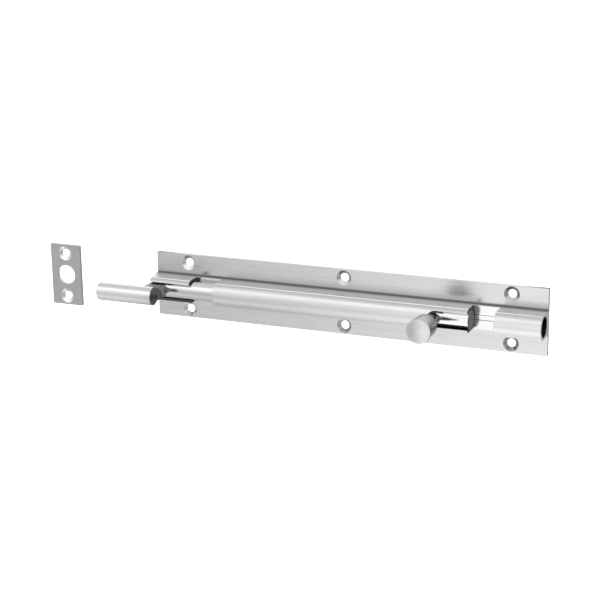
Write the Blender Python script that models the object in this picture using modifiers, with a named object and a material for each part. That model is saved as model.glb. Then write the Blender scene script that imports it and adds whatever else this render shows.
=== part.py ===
"""Necked barrel bolt with its flat keep plate, in metres, +Z up.

The plate stands upright with its back face on the plane Y = 0 and its front towards -Y. The bolt
slides along X, and it is thrown towards -X, into the keep plate. The origin is the middle of the
plate's back face.
"""

import math

import bmesh
import bpy
from mathutils import Matrix, Vector

MM = 0.001

# Clearances
JOINT_GAP = 0.3 * MM            # between two pieces that touch or are fixed to each other
SLIDE_GAP = 0.3 * MM            # all round the rod in its bore
NECK_SIDE_GAP = 0.7 * MM        # on each side of the neck, under the front guide's lip

# Plate and barrel: one extruded section
PLATE_LENGTH = 203 * MM
PLATE_HEIGHT = 33 * MM
PLATE_THICKNESS = 1.8 * MM
PLATE_CORNER = 0.6 * MM
SIDE_WALL = 1.0 * MM            # thinnest metal beside the bore, at the flat top and bottom walls
FRONT_WALL = 1.6 * MM           # metal in front of the bore
FLOOR = 2.7 * MM                # metal between the plate's front face and the bore
CREASE_CHAMFER = 0.35 * MM      # broken edge where a flat wall meets the round front
CREASE_STEP = 0.15 * MM         # the round front lies this far behind the broken edge

# Lengths of the barrel's stretches along the plate, from the shoot's end
FRONT_INSET = 1.6 * MM          # plate end to front guide
FRONT_GUIDE = 21.8 * MM
FRONT_GAP = 13.6 * MM           # window where the neck turns
REAR_GAP = 13.2 * MM            # window where the knob turns
REAR_GUIDE = 22.3 * MM
LAND_GROOVE = 0.15 * MM         # depth of the bore that is left in the milled land
GUIDE_CRADLE = 1.9 * MM         # front guide's lower wall, in front of the bore's axis

# Bolt
BOLT_DIAMETER = 9.2 * MM
ROD_END_CHAMFER = 0.5 * MM
ROD_OVERHANG = 0.7 * MM         # rod end past the main barrel
CRANK_OFFSET = 15.8 * MM        # rod axis to shoot axis
SHOOT_LENGTH = 30.5 * MM
SHOOT_NOSE = 0.9 * MM           # radius of the rounded nose edge
SHOOT_REAR_EDGE = 0.25 * MM
NECK_LENGTH = 8.2 * MM          # along the rod
NECK_WIDTH = 6.6 * MM
NECK_SPIGOT_DIAMETER = 3.6 * MM
NECK_SPIGOT_DEPTH = 2.2 * MM    # into the rod and into the shoot
NECK_CORNER = 0.4 * MM

# Knob
SLOT_LENGTH = 19.6 * MM         # round end of the slot to the main barrel's open end
STUD_DIAMETER = 5.8 * MM
STUD_SPIGOT_DIAMETER = 4.0 * MM
STUD_SPIGOT_DEPTH = 3.4 * MM    # into the rod and into the knob
STUD_SEAT_DEPTH = 0.6 * MM      # flat that the stud seats on, below the rod's surface
KNOB_STANDOFF = 9.4 * MM        # barrel front to the back of the knob
KNOB_LENGTH = 10.9 * MM
KNOB_FACE_DIAMETER = 11.9 * MM
KNOB_BACK_DIAMETER = 11.2 * MM
KNOB_EDGE = 0.3 * MM

# Friction spring under the rod
SPRING_LENGTH = 36 * MM
SPRING_WIDTH = 2.6 * MM
SPRING_THICKNESS = 0.4 * MM
SPRING_RISE = 0.7 * MM          # height of the bow
SPRING_POCKET_END = 1.5 * MM    # room past each end of the strip
SPRING_PLACE = -8 * MM          # middle of the pocket, from the middle of the plate

# Screw holes
SCREW_HOLE_DIAMETER = 4.1 * MM
COUNTERSINK_DIAMETER = 7.5 * MM
COUNTERSINK_DEPTH = 1.35 * MM
HOLE_END_INSET = 17.7 * MM
HOLE_EDGE_INSET = 4.46 * MM

# Keep plate
KEEP_LENGTH = 17.3 * MM         # along X
KEEP_HEIGHT = 32.3 * MM
KEEP_THICKNESS = 1.8 * MM
KEEP_HOLE_CLEARANCE = 0.4 * MM  # all round the shoot
KEEP_SCREW_EDGE_INSET = 4.75 * MM
KEEP_GAP = 33.2 * MM            # nose of the thrown shoot to the middle of the keep plate
KEEP_DROP = 0.8 * MM            # keep plate's middle below the bolt's axis

# Smoothness
ROUND_SIDES = 48
HOLE_SIDES = 32
ARC_STEPS = 28
NOSE_STEPS = 5
EDGE_STEPS = 2
CORNER_STEPS = 4
ROUND_PROFILE = 0.5             # a bevel profile that is a quarter circle
SHARP_ANGLE = math.radians(30)
WELD = 0.005 * MM               # points closer than this are one
CUT_OVERSHOOT = 1.0 * MM        # how far a cutter runs past the face that it cuts
COUNTERSINK_OVERSHOOT = 0.15 * MM

# Worked-out sizes
BOLT_RADIUS = BOLT_DIAMETER / 2
BORE_RADIUS = BOLT_RADIUS + SLIDE_GAP
SIDE_FLAT = BORE_RADIUS + SIDE_WALL
BARREL_RADIUS = BORE_RADIUS + FRONT_WALL
PLATE_FRONT = -PLATE_THICKNESS
AXIS_Y = PLATE_FRONT - FLOOR - BORE_RADIUS
BARREL_FRONT = AXIS_Y - BARREL_RADIUS
LAND_Y = PLATE_FRONT - FLOOR - LAND_GROOVE
CRADLE_Y = AXIS_Y - GUIDE_CRADLE
SHOOT_Y = AXIS_Y - CRANK_OFFSET
SLOT_WIDTH = NECK_WIDTH + 2 * NECK_SIDE_GAP

PLATE_LEFT = -PLATE_LENGTH / 2
PLATE_RIGHT = PLATE_LENGTH / 2
FRONT_GUIDE_LEFT = PLATE_LEFT + FRONT_INSET
FRONT_GUIDE_RIGHT = FRONT_GUIDE_LEFT + FRONT_GUIDE
MAIN_LEFT = FRONT_GUIDE_RIGHT + FRONT_GAP
REAR_GUIDE_LEFT = PLATE_RIGHT - REAR_GUIDE
MAIN_RIGHT = REAR_GUIDE_LEFT - REAR_GAP
SLOT_LEFT = MAIN_RIGHT - SLOT_LENGTH
SLOT_ROUND_X = SLOT_LEFT + SLOT_WIDTH / 2
KNOB_X = SLOT_LEFT + STUD_DIAMETER / 2 + JOINT_GAP
ROD_LEFT = FRONT_GUIDE_LEFT
ROD_RIGHT = MAIN_RIGHT + ROD_OVERHANG
NECK_RIGHT = ROD_LEFT + NECK_LENGTH
SHOOT_RIGHT = NECK_RIGHT
SHOOT_LEFT = SHOOT_RIGHT - SHOOT_LENGTH
KEEP_X = SHOOT_LEFT - KEEP_GAP
KEEP_Z = -KEEP_DROP
KEEP_HOLE_RADIUS = BOLT_RADIUS + KEEP_HOLE_CLEARANCE
STUD_SEAT = BOLT_RADIUS - STUD_SEAT_DEPTH
KNOB_BACK_Y = BARREL_FRONT - KNOB_STANDOFF

for old in list(bpy.data.objects):
    bpy.data.objects.remove(old, do_unlink=True)

parts = bpy.data.collections.new("barrel_bolt")
cutters = bpy.data.collections.new("barrel_bolt_cutters")
bpy.context.scene.collection.children.link(parts)
bpy.context.scene.collection.children.link(cutters)


def metal(name, colour, roughness):
    """A bare metal finish."""
    made = bpy.data.materials.new(name)
    made.use_nodes = True
    shader = made.node_tree.nodes["Principled BSDF"]
    shader.inputs["Base Color"].default_value = (*colour, 1.0)
    shader.inputs["Metallic"].default_value = 1.0
    shader.inputs["Roughness"].default_value = roughness
    return made


def put(obj, collection, location=(0, 0, 0)):
    """Link an object to one collection and place it."""
    collection.objects.link(obj)
    obj.location = location
    if collection is cutters:
        obj.hide_render = True
        obj.display_type = "WIRE"
    return obj


def box(name, collection, low, high):
    """A box from its low corner to its high corner, with its origin in its middle."""
    mesh = bpy.data.meshes.new(name)
    builder = bmesh.new()
    bmesh.ops.create_cube(builder, size=1.0)
    size = Vector(high) - Vector(low)
    bmesh.ops.scale(builder, vec=size, verts=builder.verts)
    builder.to_mesh(mesh)
    builder.free()
    return put(bpy.data.objects.new(name, mesh), collection, (Vector(high) + Vector(low)) / 2)


def round_bar(name, collection, radius, start, end, sides):
    """A solid round bar from start to end."""
    start, end = Vector(start), Vector(end)
    mesh = bpy.data.meshes.new(name)
    builder = bmesh.new()
    bmesh.ops.create_cone(builder, cap_ends=True, segments=sides, radius1=radius, radius2=radius,
                          depth=(end - start).length)
    turn = Vector((0, 0, 1)).rotation_difference(end - start).to_matrix().to_4x4()
    bmesh.ops.transform(builder, matrix=turn, verts=builder.verts)
    builder.to_mesh(mesh)
    builder.free()
    return put(bpy.data.objects.new(name, mesh), collection, (start + end) / 2)


def turned(name, collection, profile, place, axis, sides):
    """A turned piece: profile is (radius, height) pairs from the top middle to the bottom middle,
    and the piece's height runs along axis from place."""
    mesh = bpy.data.meshes.new(name)
    mesh.from_pydata([(radius, 0, height) for radius, height in profile],
                     [(i, i + 1) for i in range(len(profile) - 1)], [])
    obj = put(bpy.data.objects.new(name, mesh), collection, place)
    obj.rotation_euler = Vector((0, 0, 1)).rotation_difference(Vector(axis)).to_euler()
    spin = obj.modifiers.new("turn", "SCREW")
    spin.steps = sides
    spin.render_steps = sides
    spin.use_merge_vertices = True
    spin.merge_threshold = WELD
    return obj


def rounded_corner(radius_out, height, edge, steps, top):
    """Points of a quarter-round edge on a turned profile, from the top of the piece downwards."""
    points = []
    for i in range(steps + 1):
        angle = math.pi / 2 * i / steps
        if top:
            points.append((radius_out - edge + edge * math.sin(angle),
                           height - edge + edge * math.cos(angle)))
        else:
            points.append((radius_out - edge + edge * math.cos(angle),
                           height + edge - edge * math.sin(angle)))
    return points


def boolean(obj, cutter, operation="DIFFERENCE"):
    """Cut or join one object with another."""
    step = obj.modifiers.new(f"{operation.lower()} {cutter.name}", "BOOLEAN")
    step.operation = operation
    step.object = cutter
    step.solver = "EXACT"
    return step


def bevel(obj, width, segments):
    """Round every edge that is sharper than the corner between two sides of a round bar."""
    step = obj.modifiers.new("edges", "BEVEL")
    step.width = width
    step.segments = segments
    step.limit_method = "ANGLE"
    step.angle_limit = SHARP_ANGLE


def extruded_outline(name, collection, outlines, depth, place, matrix):
    """A flat outline (with holes) extruded by depth, as a mesh. matrix turns the outline's own
    X, Y and extrusion direction into the object's."""
    curve = bpy.data.curves.new(name, "CURVE")
    curve.dimensions = "2D"
    curve.fill_mode = "BOTH"
    curve.extrude = depth / 2
    for points in outlines:
        spline = curve.splines.new("POLY")
        spline.points.add(len(points) - 1)
        for target, point in zip(spline.points, points):
            target.co = (*point, 0, 1)
        spline.use_cyclic_u = True
    source = put(bpy.data.objects.new(f"{name}_outline", curve), cutters)
    bpy.context.view_layer.update()
    graph = bpy.context.evaluated_depsgraph_get()
    mesh = bpy.data.meshes.new_from_object(source.evaluated_get(graph))
    bpy.data.objects.remove(source, do_unlink=True)
    builder = bmesh.new()
    builder.from_mesh(mesh)
    bmesh.ops.remove_doubles(builder, verts=builder.verts, dist=WELD)
    bmesh.ops.transform(builder, matrix=matrix, verts=builder.verts)
    bmesh.ops.recalc_face_normals(builder, faces=builder.faces)
    builder.to_mesh(mesh)
    builder.free()
    return put(bpy.data.objects.new(name, mesh), collection, place)


def finish(obj, material):
    """Give a piece its material and its shading."""
    obj.data.materials.append(material)
    obj.data.shade_smooth()
    obj.data.set_sharp_from_angle(angle=SHARP_ANGLE)


def barrel_section():
    """Outer outline of the barrel in (distance in front of the bore's axis, height)."""
    front_radius = BARREL_RADIUS - CREASE_STEP
    crease = math.sqrt(BARREL_RADIUS ** 2 - SIDE_FLAT ** 2)
    start_height = SIDE_FLAT - CREASE_CHAMFER
    start_angle = math.asin(start_height / front_radius)
    upper = [(PLATE_THICKNESS / 2 + AXIS_Y, SIDE_FLAT),
             (crease - CREASE_CHAMFER, SIDE_FLAT),
             (crease, start_height)]
    arc = []
    for i in range(ARC_STEPS + 1):
        angle = start_angle * (1 - 2 * i / ARC_STEPS)
        arc.append((front_radius * math.cos(angle), front_radius * math.sin(angle)))
    lower = [(distance, -height) for distance, height in reversed(upper)]
    return upper + arc + lower


def countersunk_cutter(name, x, z, front_y, thickness):
    """Cutter for one countersunk screw hole through a plate from its front face."""
    hole = SCREW_HOLE_DIAMETER / 2
    sink = COUNTERSINK_DIAMETER / 2
    slope = (sink - hole) / COUNTERSINK_DEPTH
    over = COUNTERSINK_OVERSHOOT
    profile = [(0, over), (sink + slope * over, over), (hole, -COUNTERSINK_DEPTH),
               (hole, -thickness - CUT_OVERSHOOT), (0, -thickness - CUT_OVERSHOOT)]
    return turned(name, cutters, profile, (x, front_y, z), (0, -1, 0), HOLE_SIDES)


# ---- Body: plate and barrel are one extrusion, milled into guides, windows and a slot ----

aluminium = metal("satin_aluminium", (0.72, 0.72, 0.73), 0.32)
steel = metal("bright_steel", (0.66, 0.66, 0.67), 0.2)
spring_steel = metal("spring_steel", (0.45, 0.46, 0.48), 0.35)

# The outline's X is the distance in front of the bore's axis, its Y is the height, and it is
# extruded along the plate.
section_matrix = Matrix(((0, 0, 1, 0), (-1, 0, 0, 0), (0, 1, 0, 0), (0, 0, 0, 1)))

body = box("body", parts, (PLATE_LEFT, PLATE_FRONT, -PLATE_HEIGHT / 2),
           (PLATE_RIGHT, 0, PLATE_HEIGHT / 2))
corners = bmesh.new()
corners.from_mesh(body.data)
upright = [edge for edge in corners.edges
           if abs(edge.verts[0].co.y - edge.verts[1].co.y) > PLATE_THICKNESS / 2]
bmesh.ops.bevel(corners, geom=upright, offset=PLATE_CORNER, segments=CORNER_STEPS,
                profile=ROUND_PROFILE, affect="EDGES")
corners.to_mesh(body.data)
corners.free()

barrel = extruded_outline("barrel_stock", cutters, [barrel_section()], PLATE_LENGTH,
                          (0, AXIS_Y, 0), section_matrix)
boolean(body, barrel, "UNION")
bore = round_bar("bore", cutters, BORE_RADIUS, (PLATE_LEFT - CUT_OVERSHOOT, AXIS_Y, 0),
                 (PLATE_RIGHT + CUT_OVERSHOOT, AXIS_Y, 0), ROUND_SIDES)
boolean(body, bore)

mill_front = BARREL_FRONT - CUT_OVERSHOOT
mill_height = SIDE_FLAT + CUT_OVERSHOOT
mills = {
    "front_end_mill": (PLATE_LEFT - CUT_OVERSHOOT, FRONT_GUIDE_LEFT, mill_height, LAND_Y),
    "front_guide_mill": (PLATE_LEFT - CUT_OVERSHOOT, FRONT_GUIDE_RIGHT, SLOT_WIDTH / 2, CRADLE_Y),
    "front_window_mill": (FRONT_GUIDE_RIGHT, MAIN_LEFT, mill_height, LAND_Y),
    "rear_window_mill": (MAIN_RIGHT, REAR_GUIDE_LEFT, mill_height, LAND_Y),
}
for name, (left, right, top, depth) in mills.items():
    mill = box(name, cutters, (left, mill_front, -mill_height), (right, depth, top))
    boolean(body, mill)

slot = box("slot_mill", cutters, (SLOT_ROUND_X, mill_front, -SLOT_WIDTH / 2),
           (MAIN_RIGHT + CUT_OVERSHOOT, AXIS_Y, SLOT_WIDTH / 2))
boolean(body, slot)
slot_end = round_bar("slot_end_mill", cutters, SLOT_WIDTH / 2, (SLOT_ROUND_X, mill_front, 0),
                     (SLOT_ROUND_X, AXIS_Y, 0), HOLE_SIDES)
boolean(body, slot_end)

hole_x = PLATE_RIGHT - HOLE_END_INSET
hole_z = PLATE_HEIGHT / 2 - HOLE_EDGE_INSET
for column, x in (("left", -hole_x), ("middle", 0), ("right", hole_x)):
    for row, z in (("upper", hole_z), ("lower", -hole_z)):
        hole = countersunk_cutter(f"screw_hole_{column}_{row}", x, z, PLATE_FRONT,
                                  PLATE_THICKNESS)
        boolean(body, hole)
finish(body, aluminium)

# ---- Bolt: rod, neck, shoot, knob and spring all slide together on the rod's axis ----

slide = bpy.data.objects.new("bolt_slide", None)
parts.objects.link(slide)
slide.location = (0, AXIS_Y, 0)


rod = round_bar("bolt_rod", parts, BOLT_RADIUS, (ROD_LEFT, AXIS_Y, 0), (ROD_RIGHT, AXIS_Y, 0),
                ROUND_SIDES)
bevel(rod, ROD_END_CHAMFER, EDGE_STEPS)

neck_x = (ROD_LEFT + NECK_RIGHT) / 2
spigot_hole = NECK_SPIGOT_DIAMETER / 2 + JOINT_GAP
rod_spigot_end = AXIS_Y - BOLT_RADIUS + NECK_SPIGOT_DEPTH
shoot_spigot_end = SHOOT_Y + BOLT_RADIUS - NECK_SPIGOT_DEPTH
boolean(rod, round_bar("rod_neck_hole", cutters, spigot_hole,
                       (neck_x, AXIS_Y - BOLT_RADIUS - CUT_OVERSHOOT, 0),
                       (neck_x, rod_spigot_end + JOINT_GAP, 0), HOLE_SIDES))

stud_end = AXIS_Y - STUD_SEAT + STUD_SPIGOT_DEPTH
boolean(rod, round_bar("rod_stud_seat", cutters, STUD_DIAMETER / 2 + JOINT_GAP,
                       (KNOB_X, AXIS_Y - BOLT_RADIUS - CUT_OVERSHOOT, 0),
                       (KNOB_X, AXIS_Y - STUD_SEAT, 0), HOLE_SIDES))
boolean(rod, round_bar("rod_stud_hole", cutters, STUD_SPIGOT_DIAMETER / 2 + JOINT_GAP,
                       (KNOB_X, AXIS_Y - BOLT_RADIUS - CUT_OVERSHOOT, 0),
                       (KNOB_X, stud_end + JOINT_GAP, 0), HOLE_SIDES))

spring_seat = BOLT_RADIUS - SPRING_THICKNESS - SPRING_RISE
pocket_half = SPRING_LENGTH / 2 + SPRING_POCKET_END
boolean(rod, box("rod_spring_pocket", cutters,
                 (SPRING_PLACE - pocket_half, AXIS_Y + spring_seat - JOINT_GAP,
                  -SPRING_WIDTH / 2 - JOINT_GAP),
                 (SPRING_PLACE + pocket_half, AXIS_Y + BOLT_RADIUS + CUT_OVERSHOOT,
                  SPRING_WIDTH / 2 + JOINT_GAP)))
finish(rod, steel)

# Neck: a short bar, saddled on the rod and on the shoot, with a spigot in each
neck = box("crank_neck", parts, (ROD_LEFT, SHOOT_Y, -NECK_WIDTH / 2),
           (NECK_RIGHT, AXIS_Y, NECK_WIDTH / 2))
edges = bmesh.new()
edges.from_mesh(neck.data)
long_edges = [edge for edge in edges.edges
              if abs(edge.verts[0].co.y - edge.verts[1].co.y) > CRANK_OFFSET / 2]
bmesh.ops.bevel(edges, geom=long_edges, offset=NECK_CORNER, segments=CORNER_STEPS,
                profile=ROUND_PROFILE, affect="EDGES")
edges.to_mesh(neck.data)
edges.free()
for name, y in (("rod_saddle", AXIS_Y), ("shoot_saddle", SHOOT_Y)):
    boolean(neck, round_bar(name, cutters, BOLT_RADIUS + JOINT_GAP,
                            (ROD_LEFT - CUT_OVERSHOOT, y, 0),
                            (NECK_RIGHT + CUT_OVERSHOOT, y, 0), ROUND_SIDES))
boolean(neck, round_bar("neck_spigots", cutters, NECK_SPIGOT_DIAMETER / 2,
                        (neck_x, shoot_spigot_end, 0), (neck_x, rod_spigot_end, 0),
                        HOLE_SIDES), "UNION")
finish(neck, steel)

# Shoot: the round end that enters the keep plate
shoot_profile = [(0, SHOOT_LENGTH)]
shoot_profile += rounded_corner(BOLT_RADIUS, SHOOT_LENGTH, SHOOT_NOSE, NOSE_STEPS, True)
shoot_profile += rounded_corner(BOLT_RADIUS, 0, SHOOT_REAR_EDGE, EDGE_STEPS, False)
shoot_profile += [(0, 0)]
shoot = turned("shoot", parts, shoot_profile, (SHOOT_RIGHT, SHOOT_Y, 0), (-1, 0, 0),
               ROUND_SIDES)
boolean(shoot, round_bar("shoot_neck_hole", cutters, spigot_hole,
                         (neck_x, SHOOT_Y + BOLT_RADIUS + CUT_OVERSHOOT, 0),
                         (neck_x, shoot_spigot_end - JOINT_GAP, 0), HOLE_SIDES))
finish(shoot, steel)

# Knob stud: shank through the slot, with a spigot in the rod and one in the knob
shank_start = STUD_SEAT + JOINT_GAP
shank_end = AXIS_Y - KNOB_BACK_Y - JOINT_GAP
stud_profile = [
    (0, shank_end + STUD_SPIGOT_DEPTH),
    (STUD_SPIGOT_DIAMETER / 2, shank_end + STUD_SPIGOT_DEPTH),
    (STUD_SPIGOT_DIAMETER / 2, shank_end),
    (STUD_DIAMETER / 2, shank_end),
    (STUD_DIAMETER / 2, shank_start),
    (STUD_SPIGOT_DIAMETER / 2, shank_start),
    (STUD_SPIGOT_DIAMETER / 2, STUD_SEAT - STUD_SPIGOT_DEPTH),
    (0, STUD_SEAT - STUD_SPIGOT_DEPTH),
]
stud = turned("knob_stud", parts, stud_profile, (KNOB_X, AXIS_Y, 0), (0, -1, 0), HOLE_SIDES)
finish(stud, steel)

# Knob: a turned cylinder, a little thinner at its back, bored for the stud
knob_profile = [(0, KNOB_LENGTH)]
knob_profile += rounded_corner(KNOB_FACE_DIAMETER / 2, KNOB_LENGTH, KNOB_EDGE, EDGE_STEPS, True)
knob_profile += rounded_corner(KNOB_BACK_DIAMETER / 2, 0, KNOB_EDGE, EDGE_STEPS, False)
knob_profile += [(0, 0)]
knob = turned("knob", parts, knob_profile, (KNOB_X, KNOB_BACK_Y, 0), (0, -1, 0), ROUND_SIDES)
boolean(knob, round_bar("knob_stud_hole", cutters, STUD_SPIGOT_DIAMETER / 2 + JOINT_GAP,
                        (KNOB_X, KNOB_BACK_Y + CUT_OVERSHOOT, 0),
                        (KNOB_X, KNOB_BACK_Y - STUD_SPIGOT_DEPTH, 0), HOLE_SIDES))
finish(knob, aluminium)

# Friction spring: a bowed strip in the rod's pocket that presses on the back of the bore
bow_out, bow_in = [], []
for i in range(ARC_STEPS + 1):
    along = SPRING_LENGTH * (i / ARC_STEPS - 0.5)
    rise = SPRING_RISE * math.cos(math.pi * along / SPRING_LENGTH) ** 2
    bow_in.append((along, rise))
    bow_out.append((along, rise + SPRING_THICKNESS))
spring = extruded_outline("friction_spring", parts, [bow_in + list(reversed(bow_out))],
                          SPRING_WIDTH, (SPRING_PLACE, AXIS_Y + spring_seat, 0),
                          Matrix.Identity(4))
finish(spring, spring_steel)

for piece in (rod, neck, shoot, stud, knob, spring):
    piece.parent = slide
    piece.location -= slide.location

# ---- Keep plate: a flat strike plate, screwed on beside the bolt ----

keep = box("keep_plate", parts,
           (KEEP_X - KEEP_LENGTH / 2, -KEEP_THICKNESS, KEEP_Z - KEEP_HEIGHT / 2),
           (KEEP_X + KEEP_LENGTH / 2, 0, KEEP_Z + KEEP_HEIGHT / 2))
boolean(keep, round_bar("keep_hole", cutters, KEEP_HOLE_RADIUS,
                        (KEEP_X, -KEEP_THICKNESS - CUT_OVERSHOOT, KEEP_Z),
                        (KEEP_X, CUT_OVERSHOOT, KEEP_Z), ROUND_SIDES))
keep_hole_z = KEEP_HEIGHT / 2 - KEEP_SCREW_EDGE_INSET
for row, z in (("upper", KEEP_Z + keep_hole_z), ("lower", KEEP_Z - keep_hole_z)):
    hole = countersunk_cutter(f"keep_screw_hole_{row}", KEEP_X, z, -KEEP_THICKNESS,
                              KEEP_THICKNESS)
    boolean(keep, hole)
finish(keep, aluminium)
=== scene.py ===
import math

import bmesh
import bpy
from mathutils import Euler, Matrix, Vector


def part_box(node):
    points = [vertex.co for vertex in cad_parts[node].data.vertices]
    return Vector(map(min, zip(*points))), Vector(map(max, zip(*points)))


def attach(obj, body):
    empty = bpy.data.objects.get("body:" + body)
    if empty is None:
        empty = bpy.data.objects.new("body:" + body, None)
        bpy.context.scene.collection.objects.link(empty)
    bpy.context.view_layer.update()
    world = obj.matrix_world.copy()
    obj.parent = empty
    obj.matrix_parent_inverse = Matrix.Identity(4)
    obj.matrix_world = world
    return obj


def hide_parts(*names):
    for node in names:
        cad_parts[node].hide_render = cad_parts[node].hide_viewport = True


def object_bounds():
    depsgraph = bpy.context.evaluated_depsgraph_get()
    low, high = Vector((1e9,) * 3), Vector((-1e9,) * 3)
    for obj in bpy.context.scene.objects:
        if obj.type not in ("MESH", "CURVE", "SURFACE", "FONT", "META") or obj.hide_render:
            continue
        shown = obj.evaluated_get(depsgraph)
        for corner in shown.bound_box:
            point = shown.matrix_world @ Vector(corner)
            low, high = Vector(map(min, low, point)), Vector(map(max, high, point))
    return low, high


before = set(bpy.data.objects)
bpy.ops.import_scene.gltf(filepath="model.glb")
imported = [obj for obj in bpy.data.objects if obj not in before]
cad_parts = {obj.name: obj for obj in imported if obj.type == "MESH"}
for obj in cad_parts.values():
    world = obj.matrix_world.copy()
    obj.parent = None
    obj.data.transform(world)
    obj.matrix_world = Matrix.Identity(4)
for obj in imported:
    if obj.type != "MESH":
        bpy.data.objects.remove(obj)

cad_low, cad_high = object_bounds()


# ---- Camera -------------------------------------------------------------------------------------
# A long portrait lens at arm's length, from the hinge end of the door and a little above the bolt.

MM = 0.001

camera_data = bpy.data.cameras.new("camera")
camera_data.lens = 98.6
camera_data.sensor_width = 36
camera_data.clip_start = 0.01
camera = bpy.data.objects.new("camera", camera_data)
bpy.context.scene.collection.objects.link(camera)
bpy.context.scene.camera = camera

camera_azimuth = math.radians(23.07)
camera_height_angle = math.radians(16.27)
camera_roll = math.radians(-0.87)
camera_distance = 809.5 * MM
camera_target = Vector((-24.0 * MM, 0, -2.0 * MM))
camera_back = Vector((math.sin(camera_azimuth) * math.cos(camera_height_angle),
                      -math.cos(camera_azimuth) * math.cos(camera_height_angle),
                      math.sin(camera_height_angle)))
camera.location = camera_target + camera_back * camera_distance
camera_look = (-camera_back).to_track_quat("-Z", "Y")
camera.rotation_mode = "QUATERNION"
camera.rotation_quaternion = camera_look @ Euler((0, 0, camera_roll)).to_quaternion()


# ---- Studio -------------------------------------------------------------------------------------
# A white room: a pale floor under the bolt, and soft light from all round it. There are no lamps.
# The room itself shines, brightest from the front at half height, and so it shows in the metal.

def srgb(hex_colour):
    """A colour written as sRGB hex, as linear RGBA."""
    values = [int(hex_colour[i:i + 2], 16) / 255 for i in (0, 2, 4)]
    linear = [v / 12.92 if v <= 0.04045 else ((v + 0.055) / 1.055) ** 2.4 for v in values]
    return (*linear, 1.0)


def add(tree, kind, inputs=None, **settings):
    """A node with its settings, its input values and the sockets linked into it."""
    made = tree.nodes.new(kind)
    for name, value in settings.items():
        setattr(made, name, value)
    for name, value in (inputs or {}).items():
        if isinstance(value, bpy.types.NodeSocket):
            tree.links.new(value, made.inputs[name])
        else:
            made.inputs[name].default_value = value
    return made


scene = bpy.context.scene
scene.view_settings.view_transform = "Standard"

world = bpy.data.worlds.new("studio")
scene.world = world
world.use_nodes = True
sky = world.node_tree
sky.nodes.clear()


def light_levels(tree, driver, low, high, stops):
    """A ramp of light levels over a value that runs from low to high. The levels are shares of
    the brightest one."""
    place = add(tree, "ShaderNodeMapRange", {0: driver, 1: low, 2: high})
    made = add(tree, "ShaderNodeValToRGB", {0: place.outputs[0]})
    made.color_ramp.interpolation = "EASE"
    brightest = max(level for value, level in stops)
    while len(made.color_ramp.elements) < len(stops):
        made.color_ramp.elements.new(0.5)
    for stop, (value, level) in zip(made.color_ramp.elements, stops):
        stop.position = (value - low) / (high - low)
        stop.color = (level / brightest, level / brightest, level / brightest, 1)
    return made.outputs["Color"], brightest


direction = add(sky, "ShaderNodeTexCoord")
split = add(sky, "ShaderNodeSeparateXYZ", {0: direction.outputs["Generated"]})
forward = add(sky, "ShaderNodeMath", {0: split.outputs["Y"], 1: -1.0}, operation="MULTIPLY")
around = add(sky, "ShaderNodeMath", {0: split.outputs["Z"], 1: forward.outputs[0]},
             operation="ARCTAN2")
angle = add(sky, "ShaderNodeMath", {0: around.outputs[0]}, operation="DEGREES")

# The light round the bolt's length: from behind, under the part, to the front, up over the
# camera and down again behind. In degrees: straight out in front is 0 and straight up is 90.
round_light, round_top = light_levels(sky, angle.outputs[0], -180, 180, [
    (-180, 1.0), (-140, 1.0), (-113, 0.92), (-95, 1.02), (-76, 1.18), (-58, 1.34), (-42, 1.38),
    (-29, 1.12), (-8, 1.12), (8, 1.24), (20, 1.26), (31, 1.36), (41, 1.58), (54, 1.74),
    (66, 1.36), (77, 0.98), (108, 0.86), (128, 0.95), (146, 1.45), (180, 1.25)])

# Low down, the light also changes from left to right. It dips well to the left, is strongest a
# little left of the middle, and fades to the right. Higher up it is even.
side_light, side_top = light_levels(sky, split.outputs["X"], -1, 1, [
    (-1, 0.7), (-0.52, 0.82), (-0.48, 0.8), (-0.45, 0.6), (-0.40, 0.66), (-0.36, 0.84),
    (-0.29, 1.3), (-0.25, 1.5), (-0.15, 1.4), (0.0, 1.1), (0.4, 0.6), (1, 0.5)])
even_above, uneven_below = 0.45, 0.05       # upward part of a direction of length 1
low = add(sky, "ShaderNodeMapRange", {0: split.outputs["Z"], 1: even_above, 2: uneven_below})
side_mix = add(sky, "ShaderNodeMix", {0: low.outputs[0], 6: (1 / side_top,) * 3 + (1,),
                                      7: side_light}, data_type="RGBA")
shaped = add(sky, "ShaderNodeMix", {0: 1.0, 6: round_light, 7: side_mix.outputs[2]},
             data_type="RGBA", blend_type="MULTIPLY")

glow = add(sky, "ShaderNodeBackground", {"Color": shaped.outputs[2],
                                         "Strength": round_top * side_top})

# What the camera sees past the floor's edge is plain white, like the floor.
plain = add(sky, "ShaderNodeBackground", {"Color": srgb("ffffff")})
seen = add(sky, "ShaderNodeLightPath")
both = add(sky, "ShaderNodeMixShader", {0: seen.outputs["Is Camera Ray"], 1: glow.outputs[0],
                                        2: plain.outputs[0]})
add(sky, "ShaderNodeOutputWorld", {"Surface": both.outputs[0]})


def link(obj):
    """Put an object into the scene."""
    scene.collection.objects.link(obj)
    return obj


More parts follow.
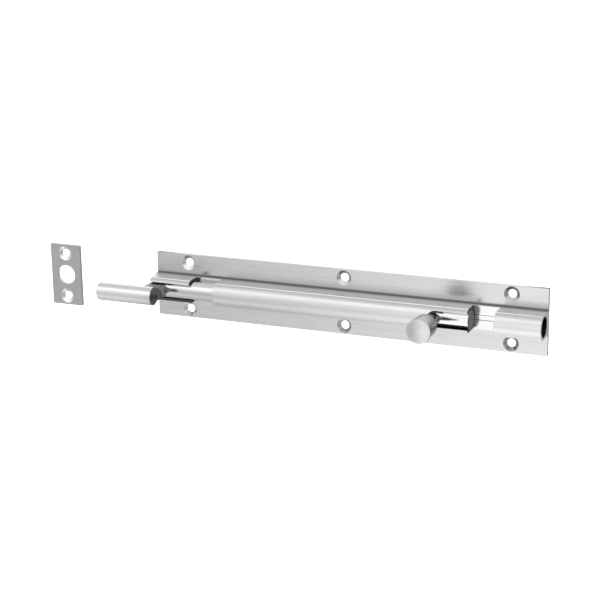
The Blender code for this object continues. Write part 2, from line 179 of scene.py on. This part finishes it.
# The floor shines by itself, so it stays plain white and takes no shadow. The metal doesn't
# reflect it: what the metal shows from below is the room's own light.
floor_reach = 4.0               # metres
floor_drop = 60 * MM            # below the lowest point of the part
floor_mesh = bpy.data.meshes.new("floor")
floor_maker = bmesh.new()
bmesh.ops.create_grid(floor_maker, x_segments=1, y_segments=1, size=floor_reach)
floor_maker.to_mesh(floor_mesh)
floor_maker.free()
floor = link(bpy.data.objects.new("floor", floor_mesh))
floor.location = (0, 0, cad_low.z - floor_drop)
floor_paint = bpy.data.materials.new("lit white acrylic")
floor_paint.use_nodes = True
floor_shader = floor_paint.node_tree.nodes["Principled BSDF"]
floor_shader.inputs["Base Color"].default_value = srgb("f4f4f4")
floor_shader.inputs["Roughness"].default_value = 0.9
floor_shader.inputs["Emission Color"].default_value = srgb("ffffff")
floor_shader.inputs["Emission Strength"].default_value = 1.0
floor_mesh.materials.append(floor_paint)
floor.visible_glossy = False
floor.visible_diffuse = False


# ---- Body ---------------------------------------------------------------------------------------
# One aluminium extrusion: a flat plate with a barrel standing on it, brushed lengthwise and clear
# anodised. The barrel is milled away in two windows and a slot, whose faces are left bright, and
# the plate is drilled and countersunk for six screws.

body_low, body_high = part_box("body")
rod_low, rod_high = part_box("bolt_rod")
axis_y = (rod_low.y + rod_high.y) / 2
rod_radius = (rod_high.z - rod_low.z) / 2

plate_thickness = 1.8 * MM
bore_radius = rod_radius + 0.3 * MM
crease_step = 0.15 * MM         # the round front lies this far behind the crease's circle
barrel_radius = axis_y - body_low.y + crease_step
side_flat = bore_radius + 1.0 * MM
land_depth = 4.65 * MM          # milled land, from the plate's back
front_guide = (body_low.x + 1.6 * MM, body_low.x + 23.4 * MM)
rear_guide = (body_high.x - 22.3 * MM, body_high.x)
main_barrel = (body_low.x + 37.0 * MM, body_high.x - 35.5 * MM)
slot_half = 4.0 * MM
cradle_y = axis_y - 1.9 * MM    # front guide's lower wall is milled back to here
slot_left = main_barrel[1] - 19.6 * MM
hole_step = 83.8 * MM
hole_height = 12.04 * MM
screw_places = [(x, z) for x in (-hole_step, 0, hole_step) for z in (-hole_height, hole_height)]
screw_hole = 2.05 * MM
screw_sink = 3.75 * MM
screw_sink_depth = 1.35 * MM
past = 1.0 * MM                 # how far a cutter runs past the face it cuts
fine_edge = 0.12 * MM           # how wide the sharp edges are broken


def mesh_of(obj):
    """Bake an object's modifiers into its mesh."""
    graph = bpy.context.evaluated_depsgraph_get()
    made = bpy.data.meshes.new_from_object(obj.evaluated_get(graph))
    obj.modifiers.clear()
    obj.data = made
    return obj


def solid(name, maker):
    """An object from a bmesh."""
    mesh = bpy.data.meshes.new(name)
    bmesh.ops.recalc_face_normals(maker, faces=maker.faces)
    maker.to_mesh(mesh)
    maker.free()
    return link(bpy.data.objects.new(name, mesh))


def block(name, low, high):
    """A box from corner to corner."""
    maker = bmesh.new()
    bmesh.ops.create_cube(maker, size=1.0)
    low, high = Vector(low), Vector(high)
    bmesh.ops.scale(maker, vec=high - low, verts=maker.verts)
    bmesh.ops.translate(maker, vec=(high + low) / 2, verts=maker.verts)
    return solid(name, maker)


def extrusion(name, outline, left, right):
    """A straight length along X of an outline given in (y, z)."""
    maker = bmesh.new()
    ring = [maker.verts.new((left, y, z)) for y, z in outline]
    face = maker.faces.new(ring)
    grown = bmesh.ops.extrude_face_region(maker, geom=[face])
    moved = [item for item in grown["geom"] if isinstance(item, bmesh.types.BMVert)]
    bmesh.ops.translate(maker, vec=(right - left, 0, 0), verts=moved)
    return solid(name, maker)


def lathe(name, profile, place, axis, sides=96):
    """A turned piece from (radius, height) points, whose height runs along axis from place."""
    maker = bmesh.new()
    points = [maker.verts.new((radius, 0, height)) for radius, height in profile]
    edges = [maker.edges.new(pair) for pair in zip(points, points[1:])]
    bmesh.ops.spin(maker, geom=points + edges, cent=(0, 0, 0), axis=(0, 0, 1),
                   angle=math.tau, steps=sides, use_merge=True)
    bmesh.ops.remove_doubles(maker, verts=maker.verts, dist=0.001 * MM)
    turn = Vector((0, 0, 1)).rotation_difference(Vector(axis)).to_matrix().to_4x4()
    bmesh.ops.transform(maker, matrix=Matrix.Translation(place) @ turn, verts=maker.verts)
    return solid(name, maker)


def pin(name, radius, top, bottom, place, axis, sides=96):
    """A plain round pin between two heights along its axis."""
    profile = [(0, top), (radius, top), (radius, bottom), (0, bottom)]
    return lathe(name, profile, place, axis, sides)


def cut(obj, tool, operation="DIFFERENCE"):
    """Cut or join, and throw the tool away."""
    step = obj.modifiers.new(tool.name, "BOOLEAN")
    step.operation = operation
    step.object = tool
    step.solver = "EXACT"
    mesh_of(obj)
    bpy.data.objects.remove(tool, do_unlink=True)
    return obj


def break_edges(obj, width, segments=2, angle=28):
    """Round every edge sharper than the angle, in degrees, and shade the rest smooth."""
    maker = bmesh.new()
    maker.from_mesh(obj.data)
    bmesh.ops.remove_doubles(maker, verts=maker.verts, dist=0.002 * MM)
    bmesh.ops.dissolve_limit(maker, angle_limit=math.radians(0.5), verts=maker.verts,
                             edges=maker.edges)
    maker.to_mesh(obj.data)
    maker.free()
    step = obj.modifiers.new("broken edges", "BEVEL")
    step.width = width
    step.segments = segments
    step.limit_method = "ANGLE"
    step.angle_limit = math.radians(angle)
    step.use_clamp_overlap = False
    step.harden_normals = True
    obj.data.shade_smooth()
    mesh_of(obj)
    return obj


def barrel_outline(steps=72):
    """The barrel's section in (y, z): flat top and bottom walls, a broken crease, a round front."""
    bead_tall, bead_deep = 0.5 * MM, 0.3 * MM
    front = barrel_radius - crease_step
    crease = math.sqrt(barrel_radius ** 2 - side_flat ** 2)
    first = math.asin((side_flat - bead_tall) / front)
    upper = [(-plate_thickness / 2, side_flat),
             (axis_y - crease + bead_deep / 2, side_flat),
             (axis_y - crease - bead_deep / 2, side_flat - bead_tall)]
    arc = [(axis_y - front * math.cos(first * (1 - 2 * i / steps)),
            front * math.sin(first * (1 - 2 * i / steps))) for i in range(steps + 1)]
    return upper + arc + [(y, -z) for y, z in reversed(upper)]


def sink_tool(x, z, front_y, thickness):
    """Cutter for one countersunk hole."""
    slope = (screw_sink - screw_hole) / screw_sink_depth
    over = 0.5 * MM
    profile = [(0, over), (screw_sink + slope * over, over), (screw_hole, -screw_sink_depth),
               (screw_hole, -thickness - past), (0, -thickness - past)]
    return lathe("screw hole", profile, (x, front_y, z), (0, -1, 0), 64)


def plate_blank(name, low, high, corner=0.6 * MM):
    """A flat plate with small round corners."""
    steps = 6
    width, tall = (high.x - low.x) / 2 - corner, (high.z - low.z) / 2 - corner
    middle_x, middle_z = (high.x + low.x) / 2, (high.z + low.z) / 2
    outline = []
    for quarter, (side_x, side_z) in enumerate(((1, 1), (-1, 1), (-1, -1), (1, -1))):
        for i in range(steps + 1):
            angle = math.pi / 2 * (quarter + i / steps)
            outline.append((middle_x + side_x * width + corner * math.cos(angle),
                            middle_z + side_z * tall + corner * math.sin(angle)))
    maker = bmesh.new()
    face = maker.faces.new([maker.verts.new((x, high.y, z)) for x, z in outline])
    grown = bmesh.ops.extrude_face_region(maker, geom=[face])
    moved = [item for item in grown["geom"] if isinstance(item, bmesh.types.BMVert)]
    bmesh.ops.translate(maker, vec=(0, low.y - high.y, 0), verts=moved)
    return solid(name, maker)


body = plate_blank("plate_and_barrel", Vector((body_low.x, -plate_thickness, body_low.z)),
                   Vector((body_high.x, 0, body_high.z)))
cut(body, extrusion("barrel", barrel_outline(), body_low.x, body_high.x), "UNION")
bore_reach = 1.0                # metres, well past both ends
cut(body, pin("bore", bore_radius, bore_reach, -bore_reach, (0, axis_y, 0), (1, 0, 0), 128))
mill_front = body_low.y - past
tall = side_flat + past
for left, right, top, depth in (
        (body_low.x - past, front_guide[0], tall, -land_depth),
        (body_low.x - past, front_guide[1], slot_half, cradle_y),
        (front_guide[1], main_barrel[0], tall, -land_depth),
        (main_barrel[1], rear_guide[0], tall, -land_depth)):
    cut(body, block("mill", (left, mill_front, -tall), (right, depth, top)))
slot_round = slot_left + slot_half
cut(body, block("slot", (slot_round, mill_front, -slot_half),
                (main_barrel[1] + past, axis_y, slot_half)))
cut(body, pin("slot end", slot_half, axis_y - mill_front, 0, (slot_round, axis_y, 0),
              (0, -1, 0), 64))
for x, z in screw_places:
    cut(body, sink_tool(x, z, -plate_thickness, plate_thickness))
break_edges(body, fine_edge)


def metal(name, colour):
    """A bare metal: its material, its node tree, its shader and its coordinates in metres."""
    made = bpy.data.materials.new(name)
    made.use_nodes = True
    tree = made.node_tree
    shader = tree.nodes["Principled BSDF"]
    shader.inputs["Metallic"].default_value = 1.0
    shader.inputs["Base Color"].default_value = srgb(colour)
    return made, tree, shader, add(tree, "ShaderNodeTexCoord").outputs["Object"]


def grain(tree, shader, lines, place, roughness, spread, depth, shade=None):
    """Let fine lines drive a metal's roughness, tone and relief, with a slow drift over them."""
    colour = tuple(shader.inputs["Base Color"].default_value)[:3]
    low, high = 0.3, 0.7        # most of a noise's values lie between these
    drift_size = 16 * MM
    cloud = add(tree, "ShaderNodeTexNoise", {"Vector": place, "Scale": 1 / drift_size,
                                             "Detail": 2.0})
    rough = add(tree, "ShaderNodeMapRange", {0: lines, 1: low, 2: high,
                                             3: roughness - spread, 4: roughness + spread})
    drift = add(tree, "ShaderNodeMapRange", {0: cloud.outputs[0], 1: low, 2: high,
                                             3: -spread / 2, 4: spread / 2})
    both = add(tree, "ShaderNodeMath", {0: rough.outputs[0], 1: drift.outputs[0]},
               operation="ADD")
    tree.links.new(both.outputs[0], shader.inputs["Roughness"])
    tone = add(tree, "ShaderNodeMapRange", {0: lines, 1: 0.25, 2: 0.75, 3: 0.95, 4: 1.04})
    if shade:
        tone = add(tree, "ShaderNodeMath", {0: tone.outputs[0], 1: shade}, operation="MULTIPLY")
    paint = add(tree, "ShaderNodeVectorMath", {0: colour, "Scale": tone.outputs[0]},
                operation="SCALE")
    tree.links.new(paint.outputs[0], shader.inputs["Base Color"])
    relief = add(tree, "ShaderNodeBump", {"Height": lines, "Strength": 0.5, "Distance": depth})
    tree.links.new(relief.outputs[0], shader.inputs["Normal"])


def lengthwise(tree, place, across, along):
    """Brushing lines that run along X: their spacing across and their length, in metres.
    Real ones lie about 0.1 mm apart, too fine to show, so every spacing given here is wider."""
    stretch = add(tree, "ShaderNodeMapping", {"Vector": place,
                                              "Scale": (1 / along, 1 / across, 1 / across)})
    return add(tree, "ShaderNodeTexNoise", {"Vector": stretch.outputs[0], "Scale": 1.0,
                                            "Detail": 3.0, "Roughness": 0.6}).outputs[0]


def turning(tree, x, y, z, spacing):
    """Tool marks round an axis that runs along Y, from coordinates measured from that axis.
    Real ones lie about 0.1 mm apart, too fine to show, so every spacing given here is wider."""
    flat = add(tree, "ShaderNodeCombineXYZ", {"X": x, "Z": z})
    radius = add(tree, "ShaderNodeVectorMath", {0: flat.outputs[0]}, operation="LENGTH")
    travel = add(tree, "ShaderNodeMath", {0: radius.outputs["Value"], 1: y}, operation="ADD")
    count = add(tree, "ShaderNodeMath", {0: travel.outputs[0], 1: 1 / spacing},
                operation="MULTIPLY")
    return add(tree, "ShaderNodeTexNoise", {"W": count.outputs[0], "Scale": 1.0,
                                            "Detail": 2.0}, noise_dimensions="1D").outputs[0]


# Satin brushing under a clear anodised skin, with soft streaks along the length. Painted shade
# darkens the corner between barrel and plate.
anodised, tree, shader, place = metal("brushed anodised aluminium", "c6c6c6")
corner_wall = (0.2 * MM, 0.05 * MM)     # inside the barrel's flat side
corner_plate = (0.1 * MM, 1.0 * MM)     # outside it, over the plate
corner_top = -6.2 * MM                  # up the flat side, the dark corner has faded out here
corner_shade_tone = 0.34
axes = add(tree, "ShaderNodeSeparateXYZ", {0: place})
height = add(tree, "ShaderNodeMath", {0: axes.outputs["Z"]}, operation="ABSOLUTE")
at_wall = add(tree, "ShaderNodeMapRange", {0: height.outputs[0],
                                           1: side_flat - corner_wall[0],
                                           2: side_flat - corner_wall[1]})
past_wall = add(tree, "ShaderNodeMapRange", {0: height.outputs[0],
                                             1: side_flat + corner_plate[0],
                                             2: side_flat + corner_plate[1],
                                             3: 1.0, 4: 0.0})
off_plate = add(tree, "ShaderNodeMapRange", {0: axes.outputs["Y"], 1: corner_top,
                                             2: -plate_thickness})
corner = add(tree, "ShaderNodeMath", {0: at_wall.outputs[0], 1: past_wall.outputs[0]},
             operation="MULTIPLY")
corner = add(tree, "ShaderNodeMath", {0: corner.outputs[0], 1: off_plate.outputs[0]},
             operation="MULTIPLY")
in_front = add(tree, "ShaderNodeMath", {0: axes.outputs["Y"], 1: -plate_thickness * 0.95},
               operation="LESS_THAN")
corner = add(tree, "ShaderNodeMath", {0: corner.outputs[0], 1: in_front.outputs[0]},
             operation="MULTIPLY")
# Painted shade: a factor that darkens the colour in the corner between barrel and plate.
dull = add(tree, "ShaderNodeMapRange", {0: corner.outputs[0], 3: 1.0, 4: corner_shade_tone})

# Painted shade: the long edges are painted darker toward the sawn ends.
end_fade = (14 * MM, 3 * MM)            # from the ends: where it starts and where it is darkest
end_shade_tone = 0.3
to_end = add(tree, "ShaderNodeMath", {0: axes.outputs["X"]}, operation="ABSOLUTE")
to_end = add(tree, "ShaderNodeMapRange", {0: to_end.outputs[0], 1: body_high.x - end_fade[0],
                                          2: body_high.x - end_fade[1]})
on_edge = add(tree, "ShaderNodeMath", {0: height.outputs[0], 1: body_high.z - fine_edge},
              operation="GREATER_THAN")
edge_end = add(tree, "ShaderNodeMath", {0: to_end.outputs[0], 1: on_edge.outputs[0]},
               operation="MULTIPLY")
edge_shade = add(tree, "ShaderNodeMapRange", {0: edge_end.outputs[0], 3: 1.0, 4: end_shade_tone})
dull = add(tree, "ShaderNodeMath", {0: dull.outputs[0], 1: edge_shade.outputs[0]},
           operation="MULTIPLY")

# Broad soft streaks, where the belt's pressure varied.
streak = add(tree, "ShaderNodeMapRange", {0: lengthwise(tree, place, 1.6 * MM, 60 * MM),
                                          1: 0.3, 2: 0.7, 3: 0.95, 4: 1.04})
dull = add(tree, "ShaderNodeMath", {0: dull.outputs[0], 1: streak.outputs[0]},
           operation="MULTIPLY")
grain(tree, shader, lengthwise(tree, place, 0.24 * MM, 11 * MM), place, 0.26, 0.035,
      0.0018 * MM, dull.outputs[0])

# The cutter leaves the windows and the slot brighter and smoother than the brushing. Where the
# bore just breaks through the land, painted shade draws two dark lines along the groove's edges.
milled, tree, shader, place = metal("bright milled aluminium", "d2d2d2")
groove_shade_half, groove_shade_deep = 0.2 * MM, 0.25 * MM
groove_shade_tone = 0.3
axes = add(tree, "ShaderNodeSeparateXYZ", {0: place})
height = add(tree, "ShaderNodeMath", {0: axes.outputs["Z"]}, operation="ABSOLUTE")
groove_half = math.sqrt(bore_radius ** 2 - (-axis_y - land_depth) ** 2)
groove_shade = add(tree, "ShaderNodeMath", {0: height.outputs[0], 1: groove_half, 2: groove_shade_half},
           operation="COMPARE")
at_land = add(tree, "ShaderNodeMath", {0: axes.outputs["Y"], 1: -land_depth, 2: groove_shade_deep},
              operation="COMPARE")
groove_shade = add(tree, "ShaderNodeMath", {0: groove_shade.outputs[0], 1: at_land.outputs[0]},
           operation="MULTIPLY")
dark = add(tree, "ShaderNodeMapRange", {0: groove_shade.outputs[0], 3: 1.0, 4: groove_shade_tone})
grain(tree, shader, lengthwise(tree, place, 0.5 * MM, 3 * MM), place, 0.15, 0.03, 0.002 * MM,
      dark.outputs[0])

# The bore is as it left the die, dull and grey. The saw leaves the ends dull and dark too, with
# strokes that are drawn coarser than real ones, to show at all.
drawn, tree, shader, place = metal("dull extruded aluminium", "4c4c4c")
grain(tree, shader, lengthwise(tree, place, 0.6 * MM, 20 * MM), place, 0.34, 0.04, 0.003 * MM)
sawn, tree, shader, place = metal("sawn aluminium", "424242")
stroke_width, stroke_length = 0.3 * MM, 5 * MM
stretch = add(tree, "ShaderNodeMapping", {"Vector": place,
                                          "Scale": (1 / MM, 1 / stroke_width,
                                                    1 / stroke_length)})
strokes = add(tree, "ShaderNodeTexNoise", {"Vector": stretch.outputs[0], "Scale": 1.0})
grain(tree, shader, strokes.outputs[0], place, 0.32, 0.06, 0.01 * MM)

# The rear guide's end is a mid grey with fine cloudy marks, lighter than the sawn ends.
end_face, tree, shader, place = metal("faced aluminium end", "9c9c9c")
from_bore = add(tree, "ShaderNodeVectorMath", {0: place, 1: (0, axis_y, 0)},
                operation="SUBTRACT")
cloud_size = 0.8 * MM
sweep = add(tree, "ShaderNodeTexNoise", {"Vector": from_bore.outputs[0],
                                         "Scale": 1 / cloud_size})
grain(tree, shader, sweep.outputs[0], place, 0.26, 0.05, 0.006 * MM)

# Countersinks show the bit's rings, spaced wider than a real bit's so that they show at all.
# Their tone falls from left to right, a painted highlight that is brightest at the left end.
sunk, tree, shader, place = metal("countersunk aluminium", "a6a6a6")
painted_sunk_light = (1.5, 0.9)                  # at the left and the right column of holes
ring_spacing = 0.4 * MM
axes = add(tree, "ShaderNodeSeparateXYZ", {0: place})
column = add(tree, "ShaderNodeMath", {0: axes.outputs["X"], 1: hole_step / 2}, operation="ADD")
column = add(tree, "ShaderNodeMath", {0: column.outputs[0], 1: hole_step},
             operation="FLOORED_MODULO")
across = add(tree, "ShaderNodeMath", {0: column.outputs[0], 1: hole_step / 2},
             operation="SUBTRACT")
row = add(tree, "ShaderNodeMath", {0: axes.outputs["Z"]}, operation="ABSOLUTE")
up = add(tree, "ShaderNodeMath", {0: row.outputs[0], 1: hole_height}, operation="SUBTRACT")
light_fall = add(tree, "ShaderNodeMapRange", {0: axes.outputs["X"], 1: -hole_step, 2: hole_step,
                                        3: painted_sunk_light[0], 4: painted_sunk_light[1]})
grain(tree, shader, turning(tree, across.outputs[0], axes.outputs["Y"], up.outputs[0],
                            ring_spacing), place, 0.2, 0.05, 0.05 * MM, light_fall.outputs[0])


def dress(obj, *finishes):
    """Give a piece its finishes. The first one covers every face that isn't given another."""
    obj.data.materials.clear()
    for finish in finishes:
        obj.data.materials.append(finish)


# Each face takes the finish of the tool that made it. The front guide's cradle and the slot's
# lower wall lie in shade and look as dull as the bore, so they take its finish.
dress(body, anodised, milled, sunk, drawn, sawn, end_face)
as_milled, as_sunk, as_drawn, as_sawn, as_end = 1, 2, 3, 4, 5
hair, margin = 0.05 * MM, 0.1 * MM      # how far a face's middle may lie from its plan
plate_front = -plate_thickness - 0.02 * MM
for face in body.data.polygons:
    x, y, z = face.center
    if y > plate_front:
        hole_x, hole_z = min(screw_places,
                             key=lambda hole: math.hypot(x - hole[0], z - hole[1]))
        near = math.hypot(x - hole_x, z - hole_z) < screw_sink + margin
        if near and abs(face.normal.y) < 0.95:
            face.material_index = as_sunk
        elif abs(face.normal.x) > 0.3:
            face.material_index = as_sawn
        continue
    from_axis = math.hypot(y - axis_y, z)
    on_land = abs(y + land_depth) < hair or abs(y - cradle_y) < hair
    above_land = y < -land_depth - margin
    lower_slot_wall = abs(z + slot_half) < hair and slot_left < x < main_barrel[1]
    if abs(face.normal.x) > 0.9:
        rear_end = x > rear_guide[1] - margin
        face.material_index = as_end if rear_end else as_sawn
    elif on_land and abs(face.normal.y) > 0.9:
        face.material_index = as_drawn if above_land else as_milled
    elif lower_slot_wall:
        face.material_index = as_drawn
    elif from_axis < bore_radius + hair and above_land:
        face.material_index = as_drawn
    elif from_axis < side_flat - margin:
        face.material_index = as_milled
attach(body, "root")
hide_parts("body")


# ---- Keep plate ---------------------------------------------------------------------------------
# A flat strike plate with a plain hole for the shoot and two countersunk screw holes, cut from
# the same brushed metal.

keep_low, keep_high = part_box("keep_plate")
keep_x = (keep_low.x + keep_high.x) / 2
keep_z = (keep_low.z + keep_high.z) / 2
keep_hole = rod_radius + 0.4 * MM
keep_screw = 11.4 * MM          # from the plate's middle
keep_front = keep_low.y
keep = plate_blank("strike_plate", Vector(keep_low), Vector(keep_high), 0.4 * MM)
cut(keep, pin("keep hole", keep_hole, past, keep_front * 2, (keep_x, keep_front, keep_z),
              (0, -1, 0)))
for z in (keep_z - keep_screw, keep_z + keep_screw):
    cut(keep, sink_tool(keep_x, z, keep_front, -keep_front))
break_edges(keep, fine_edge)

# Strip as thick as the bolt's plate, darker, with shorter and rougher brushing.
strip, tree, shader, place = metal("brushed aluminium strip", "aeaeae")
grain(tree, shader, lengthwise(tree, place, 0.25 * MM, 7 * MM), place, 0.27, 0.04, 0.003 * MM)

# Its countersinks are brighter than the strip round them.
keep_sunk, tree, shader, place = metal("countersunk aluminium strip", "d0d0d0")
axes = add(tree, "ShaderNodeSeparateXYZ", {0: place})
across = add(tree, "ShaderNodeMath", {0: axes.outputs["X"], 1: keep_x}, operation="SUBTRACT")
row = add(tree, "ShaderNodeMath", {0: axes.outputs["Z"], 1: keep_z}, operation="SUBTRACT")
row = add(tree, "ShaderNodeMath", {0: row.outputs[0]}, operation="ABSOLUTE")
up = add(tree, "ShaderNodeMath", {0: row.outputs[0], 1: keep_screw}, operation="SUBTRACT")
grain(tree, shader, turning(tree, across.outputs[0], axes.outputs["Y"], up.outputs[0],
                            ring_spacing), place, 0.2, 0.05, 0.05 * MM)
dress(keep, strip, keep_sunk)
for face in keep.data.polygons:
    x, y, z = face.center
    from_screw = math.hypot(x - keep_x, abs(z - keep_z) - keep_screw)
    if from_screw < screw_sink + margin and abs(face.normal.y) < 0.95:
        face.material_index = 1
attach(keep, "root")
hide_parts("keep_plate")


# ---- Bolt rod -----------------------------------------------------------------------------------
# Bright drawn bar, polished so that it slides easily. Both ends are chamfered. It is spot faced
# where the knob's stud seats, and has a pocket behind for the friction spring.

def bar_profile(length, radius, chamfer):
    """A chamfered bar's (radius, height) points."""
    return [(0, length), (radius - chamfer, length), (radius, length - chamfer),
            (radius, chamfer), (radius - chamfer, 0), (0, 0)]


knob_low, knob_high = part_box("knob")
knob_x = (knob_low.x + knob_high.x) / 2
stud_low, stud_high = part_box("knob_stud")
stud_radius = (stud_high.x - stud_low.x) / 2
rod = lathe("rod", bar_profile(rod_high.x - rod_low.x, rod_radius, 0.4 * MM),
            (rod_high.x, axis_y, 0), (-1, 0, 0), 128)
seat_radius = stud_radius + 0.3 * MM
seat_depth = 0.6 * MM
cut(rod, pin("stud seat", seat_radius, rod_radius + past, rod_radius - seat_depth,
             (knob_x, axis_y, 0), (0, -1, 0), 64))
spring_low, spring_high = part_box("friction_spring")
spring_room = Vector((1.5 * MM, 0.3 * MM, 0.3 * MM))
cut(rod, block("spring pocket", Vector(spring_low) - spring_room,
               Vector(spring_high) + spring_room + Vector((0, past, 0))))
break_edges(rod, 0.08 * MM)

# Polished bar: almost a mirror, with faint draw lines and the first rubbing from the guides.
bar, tree, shader, place = metal("polished steel bar", "d2d2d2")
grain(tree, shader, lengthwise(tree, place, 0.3 * MM, 25 * MM), place, 0.12, 0.03, 0.0012 * MM)

# Its end is parted off: dark, with the tool's rings.
faced, tree, shader, place = metal("parted steel end", "6c6c6c")
axes = add(tree, "ShaderNodeSeparateXYZ", {0: place})
up = add(tree, "ShaderNodeMath", {0: axes.outputs["Y"], 1: axis_y}, operation="SUBTRACT")
grain(tree, shader, turning(tree, up.outputs[0], axes.outputs["X"], axes.outputs["Z"],
                            ring_spacing), place, 0.3, 0.06, 0.02 * MM)
dress(rod, bar, faced)
for face in rod.data.polygons:
    if abs(face.normal.x) > 0.5 and abs(face.center.x - rod_high.x) < 0.5 * MM:
        face.material_index = 1
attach(rod, "bolt")
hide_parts("bolt_rod")


# ---- Crank neck ---------------------------------------------------------------------------------
# A short bar of steel that carries the shoot in front of the rod. Both its ends are hollowed, so
# that it saddles the rod and the shoot.

neck_low, neck_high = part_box("crank_neck")
shoot_low, shoot_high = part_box("shoot")
shoot_y = (shoot_low.y + shoot_high.y) / 2
neck_width = 6.6 * MM
saddle_radius = rod_radius + 0.05 * MM
neck = block("neck", (neck_low.x, shoot_y, -neck_width / 2),
             (neck_high.x, axis_y, neck_width / 2))
break_edges(neck, 0.25 * MM, 4)
for y in (axis_y, shoot_y):
    cut(neck, pin("saddle", saddle_radius, bore_reach, -bore_reach, (0, y, 0), (1, 0, 0), 128))
break_edges(neck, 0.05 * MM, 1, 40)

# Milled all round and left a mid grey, with short marks that run up and down. They are drawn
# coarser than real ones, which are too fine to show.
cut_steel, tree, shader, place = metal("milled steel", "7e7e7e")
mark_width, mark_length = 0.6 * MM, 4 * MM
stretch = add(tree, "ShaderNodeMapping", {"Vector": place,
                                          "Scale": (1 / mark_width, 1 / mark_width,
                                                    1 / mark_length)})
marks = add(tree, "ShaderNodeTexNoise", {"Vector": stretch.outputs[0], "Scale": 1.0,
                                         "Detail": 2.0})
grain(tree, shader, marks.outputs[0], place, 0.24, 0.06, 0.01 * MM)
dress(neck, cut_steel)
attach(neck, "bolt")
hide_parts("crank_neck")


# ---- Shoot --------------------------------------------------------------------------------------
# The round end that enters the keep plate: steel bar of the rod's diameter, turned to a rounded
# nose and brushed lightly along its length. Its rear end is faced flat.

shoot_length = shoot_high.x - shoot_low.x
nose = 0.9 * MM
nose_steps = 8
rear_chamfer = 0.2 * MM
shoot_profile = [(0, shoot_length)]
shoot_profile += [(rod_radius - nose + nose * math.sin(math.pi / 2 * i / nose_steps),
                   shoot_length - nose + nose * math.cos(math.pi / 2 * i / nose_steps))
                  for i in range(nose_steps + 1)]
shoot_profile += [(rod_radius, rear_chamfer), (rod_radius - rear_chamfer, 0), (0, 0)]
shoot = lathe("shoot_bar", shoot_profile, (shoot_high.x, shoot_y, 0), (-1, 0, 0), 128)
break_edges(shoot, 0.06 * MM)

# The same bar, its shine taken down a little so that it doesn't show scratches.
satin, tree, shader, place = metal("satin steel bar", "d2d2d2")
grain(tree, shader, lengthwise(tree, place, 0.3 * MM, 14 * MM), place, 0.17, 0.03, 0.002 * MM)
dress(shoot, satin, faced)
for face in shoot.data.polygons:
    if face.normal.x > 0.5:
        face.material_index = 1
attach(shoot, "bolt")
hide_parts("shoot")


# ---- Knob stud ----------------------------------------------------------------------------------
# The round steel shank between the rod and the knob, left as it came off the lathe. It stands in
# the spot face on the rod.

seat_y = axis_y - rod_radius + 0.55 * MM
stud = pin("stud", stud_radius, seat_y - knob_high.y, 0, (knob_x, seat_y, 0), (0, -1, 0))
break_edges(stud, 0.08 * MM)

# Darker than the bar, with the tool's rings left on it.
shank, tree, shader, place = metal("turned steel", "767676")
axes = add(tree, "ShaderNodeSeparateXYZ", {0: place})
across = add(tree, "ShaderNodeMath", {0: axes.outputs["X"], 1: knob_x}, operation="SUBTRACT")
grain(tree, shader, turning(tree, across.outputs[0], axes.outputs["Y"], axes.outputs["Z"],
                            ring_spacing), place, 0.26, 0.05, 0.02 * MM)
dress(stud, shank)
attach(stud, "bolt")
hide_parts("knob_stud")


# ---- Knob ---------------------------------------------------------------------------------------
# Turned from aluminium bar with a faced, slightly domed end, and a little thinner at its back. It
# sits on the end of the stud.

knob_length = knob_high.y - knob_low.y
knob_face = (knob_high.z - knob_low.z) / 2
knob_back = 5.6 * MM            # radius at the back
edge = 0.3 * MM                 # round of the rims
edge_steps = 4
dome = 0.32 * MM                # the face stands this much higher in its middle
dome_steps = 12
rim = knob_face - edge
knob_profile = [(rim * i / dome_steps, knob_length - dome * (i / dome_steps) ** 2)
                for i in range(dome_steps)]
knob_profile += [(rim + edge * math.sin(math.pi / 2 * i / edge_steps),
                  knob_length - dome - edge + edge * math.cos(math.pi / 2 * i / edge_steps))
                 for i in range(edge_steps + 1)]
knob_profile += [(knob_back - edge + edge * math.cos(math.pi / 2 * i / edge_steps),
                  edge - edge * math.sin(math.pi / 2 * i / edge_steps))
                 for i in range(edge_steps + 1)]
knob_profile += [(0, 0)]
knob = lathe("knob_head", knob_profile, (knob_x, knob_high.y, 0), (0, -1, 0), 128)
break_edges(knob, 0.05 * MM)

# Turned and faced: fine rings that spread the light outward, so the face shines in a fan.
turned, tree, shader, place = metal("turned aluminium", "c0c0c0")
axes = add(tree, "ShaderNodeSeparateXYZ", {0: place})
across = add(tree, "ShaderNodeMath", {0: axes.outputs["X"], 1: knob_x}, operation="SUBTRACT")
grain(tree, shader, turning(tree, across.outputs[0], axes.outputs["Y"], axes.outputs["Z"],
                            0.35 * MM), place, 0.24, 0.03, 0.006 * MM)
rings = add(tree, "ShaderNodeTangent", direction_type="RADIAL", axis="Y")
tree.links.new(rings.outputs[0], shader.inputs["Tangent"])
shader.inputs["Anisotropic"].default_value = 0.5

# The side took a coarser cut and looks duller.
coarse, tree, shader, place = metal("coarse turned aluminium", "a2a2a2")
axes = add(tree, "ShaderNodeSeparateXYZ", {0: place})
across = add(tree, "ShaderNodeMath", {0: axes.outputs["X"], 1: knob_x}, operation="SUBTRACT")
grain(tree, shader, turning(tree, across.outputs[0], axes.outputs["Y"], axes.outputs["Z"],
                            ring_spacing), place, 0.28, 0.04, 0.012 * MM)
dress(knob, turned, coarse)
for face in knob.data.polygons:
    if face.normal.y > -0.6:
        face.material_index = 1
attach(knob, "bolt")
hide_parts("knob")


# ---- Friction spring ----------------------------------------------------------------------------
# A bowed strip in the rod's pocket that rubs on the bore, and stops the bolt sliding by itself.
# It is bent from hard spring steel, and keeps the shape it has in the solid model.

# Hard spring strip, blued by its heat treatment, with faint lines along it.
blued, tree, shader, place = metal("blued spring steel", "6e7278")
grain(tree, shader, lengthwise(tree, place, 0.2 * MM, 5 * MM), place, 0.3, 0.05, 0.002 * MM)
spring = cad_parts["friction_spring"]
dress(spring, blued)
